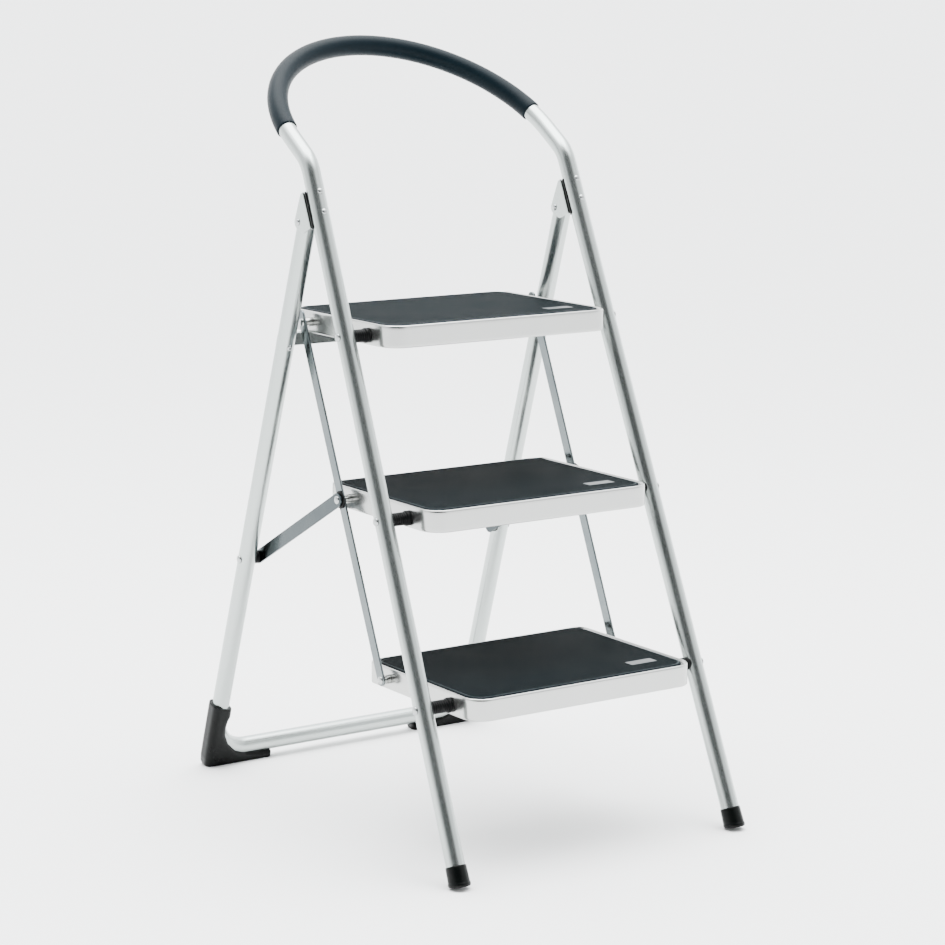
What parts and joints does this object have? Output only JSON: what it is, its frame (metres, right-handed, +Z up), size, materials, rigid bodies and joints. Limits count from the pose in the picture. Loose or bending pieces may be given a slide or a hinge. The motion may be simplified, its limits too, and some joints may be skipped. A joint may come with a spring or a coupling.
{
  "type": "step stool",
  "caption": "Folding step stool with wide ribbed treads, a leaning hoop handle with a foam grip, and a rear frame joined by flat folding links.",
  "frame": {"origin": "on the floor, under the middle of the whole open stool", "axes": "+X to the user's right, -Y the front that is climbed, +Z up"},
  "size_m": [0.4772, 0.7001, 1.0584],
  "materials": {
    "frame_coat": "satin silver powder coat",
    "tread_coat": "satin silver powder coat on pressed sheet",
    "link_zinc": "bright zinc plate",
    "pin_zinc": "zinc plate",
    "spacer_plastic": "plain moulded",
    "foot_plastic": "moulded, fine grain",
    "tread_mat": "fine ribbed, matte",
    "hand_grip": "foam sleeve, matte"
  },
  "bodies": {
    "front_frame": {"front_frame_tube": "frame_coat", "handle_grip": "hand_grip", "front_foot_left": "foot_plastic", "front_foot_right": "foot_plastic", "hinge_bracket_left": "frame_coat", "hinge_bracket_right": "frame_coat", "bracket_saddle_left": "spacer_plastic", "bracket_saddle_right": "spacer_plastic", "bracket_rivet_left_upper": "pin_zinc", "bracket_rivet_left_lower": "pin_zinc", "bracket_rivet_right_upper": "pin_zinc", "bracket_rivet_right_lower": "pin_zinc", "hinge_pin_left": "pin_zinc", "hinge_pin_right": "pin_zinc", "tread_spacer_lower_left": "spacer_plastic", "tread_spacer_lower_right": "spacer_plastic", "tread_spacer_middle_left": "spacer_plastic", "tread_spacer_middle_right": "spacer_plastic", "tread_spacer_upper_left": "spacer_plastic", "tread_spacer_upper_right": "spacer_plastic", "tread_pin_lower_left": "pin_zinc", "tread_pin_lower_right": "pin_zinc", "tread_pin_middle_left": "pin_zinc", "tread_pin_middle_right": "pin_zinc", "tread_pin_upper_left": "pin_zinc", "tread_pin_upper_right": "pin_zinc"},
    "rear_frame": {"rear_frame_tube": "frame_coat", "rear_strut": "frame_coat", "strut_rivet_left": "pin_zinc", "strut_rivet_right": "pin_zinc", "rear_foot_left": "foot_plastic", "rear_foot_right": "foot_plastic", "leg_spacer_left": "spacer_plastic", "leg_spacer_right": "spacer_plastic", "leg_pin_left": "pin_zinc", "leg_pin_right": "pin_zinc"},
    "lower_tread": {"tread_lower": "tread_coat", "mat_lower": "tread_mat", "link_pin_lower_left": "pin_zinc", "link_pin_lower_right": "pin_zinc", "link_washer_lower_left": "pin_zinc", "link_washer_lower_right": "pin_zinc"},
    "middle_tread": {"tread_middle": "tread_coat", "mat_middle": "tread_mat", "link_pin_middle_left": "pin_zinc", "link_pin_middle_right": "pin_zinc", "link_washer_middle_left": "pin_zinc", "link_washer_middle_right": "pin_zinc", "short_link_washer_left": "spacer_plastic", "short_link_washer_right": "spacer_plastic"},
    "upper_tread": {"tread_upper": "tread_coat", "mat_upper": "tread_mat", "link_pin_upper_left": "pin_zinc", "link_pin_upper_right": "pin_zinc", "link_washer_upper_left": "pin_zinc", "link_washer_upper_right": "pin_zinc"},
    "long_link_left": {"long_link_left": "link_zinc"},
    "short_link_left": {"short_link_left": "link_zinc"},
    "long_link_right": {"long_link_right": "link_zinc"},
    "short_link_right": {"short_link_right": "link_zinc"}
  },
  "joints": [
    {"name": "rear_frame_hinge", "type": "hinge", "parent": "front_frame", "child": "rear_frame", "pos_m": [0, 0.05591, 0.819], "axis": [-1, 0, 0], "range_deg": [0, 33.9]},
    {"name": "lower_tread_pivot", "type": "hinge", "parent": "front_frame", "child": "lower_tread", "pos_m": [0, -0.24354, 0.2147], "axis": [1, 0, 0], "range_deg": [0, 56.1]},
    {"name": "middle_tread_pivot", "type": "hinge", "parent": "front_frame", "child": "middle_tread", "pos_m": [0, -0.14448, 0.4447], "axis": [1, 0, 0], "range_deg": [0, 56.1]},
    {"name": "upper_tread_pivot", "type": "hinge", "parent": "front_frame", "child": "upper_tread", "pos_m": [0, -0.04543, 0.6747], "axis": [1, 0, 0], "range_deg": [0, 56.1]},
    {"name": "long_link_left_pivot", "type": "hinge", "parent": "middle_tread", "child": "long_link_left", "pos_m": [0, 0.00312, 0.447], "axis": [-1, 0, 0], "range_deg": [0, 56.1]},
    {"name": "short_link_left_pivot", "type": "hinge", "parent": "long_link_left", "child": "short_link_left", "pos_m": [0, 0.00312, 0.447], "axis": [-1, 0, 0], "range_deg": [0, 65]},
    {"name": "long_link_right_pivot", "type": "hinge", "parent": "middle_tread", "child": "long_link_right", "pos_m": [0, 0.00312, 0.447], "axis": [-1, 0, 0], "range_deg": [0, 56.1]},
    {"name": "short_link_right_pivot", "type": "hinge", "parent": "long_link_right", "child": "short_link_right", "pos_m": [0, 0.00312, 0.447], "axis": [-1, 0, 0], "range_deg": [0, 65]}
  ],
  "couplings": [
    {"joint": "lower_tread_pivot", "follows": "rear_frame_hinge", "ratio": 1.6519},
    {"joint": "middle_tread_pivot", "follows": "rear_frame_hinge", "ratio": 1.6519},
    {"joint": "upper_tread_pivot", "follows": "rear_frame_hinge", "ratio": 1.6519},
    {"joint": "long_link_left_pivot", "follows": "rear_frame_hinge", "ratio": 1.6519},
    {"joint": "short_link_left_pivot", "follows": "rear_frame_hinge", "ratio": 1.9144},
    {"joint": "long_link_right_pivot", "follows": "rear_frame_hinge", "ratio": 1.6519},
    {"joint": "short_link_right_pivot", "follows": "rear_frame_hinge", "ratio": 1.9144}
  ]
}
